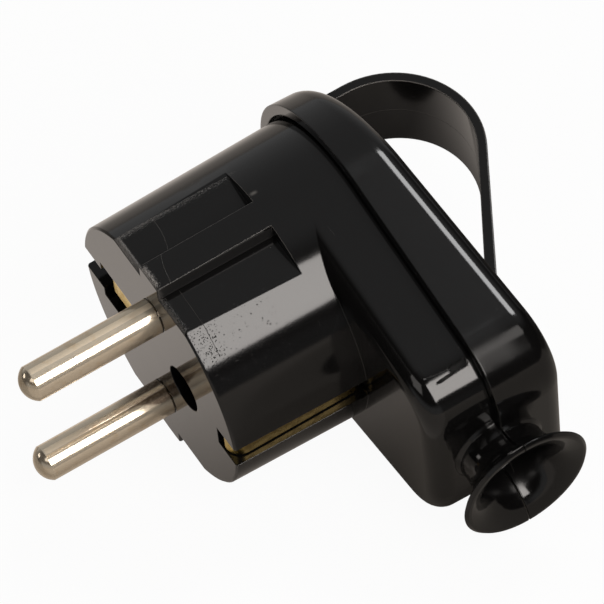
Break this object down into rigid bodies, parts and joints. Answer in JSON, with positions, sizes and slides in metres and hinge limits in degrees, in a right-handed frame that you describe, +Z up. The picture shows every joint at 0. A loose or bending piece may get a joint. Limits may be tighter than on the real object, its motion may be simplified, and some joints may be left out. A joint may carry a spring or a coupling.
{
  "type": "angled plug",
  "caption": "Angled, earthed, rewirable mains plug: round head with domed pins and side earth contacts, teardrop flange, flared cable outlet and a finger strap on the back.",
  "frame": {"origin": "centre of the face that the pins stand on", "axes": "+X the way the pins point; the plug lies on the flat side of its rear cover, so +Z is up, and the cable leaves along +Y, 9.3 degrees downwards"},
  "size_m": [0.069, 0.0625, 0.0412],
  "materials": {
    "body_plastic": "gloss",
    "cover_plastic": "gloss",
    "clamp_plastic": "satin",
    "pin_nickel": "nickel-plated, polished",
    "contact_brass": "satin",
    "screw_steel": "zinc-plated"
  },
  "bodies": {
    "root": {"front_body": "body_plastic", "rear_cover": "cover_plastic", "pin_upper": "pin_nickel", "pin_lower": "pin_nickel", "pin_terminal_screws": "screw_steel", "earth_contact": "contact_brass", "earth_terminal_screw": "screw_steel", "assembly_screw": "screw_steel", "assembly_nut": "screw_steel", "cord_clamp": "clamp_plastic", "clamp_screws": "screw_steel"}
  },
  "joints": []
}
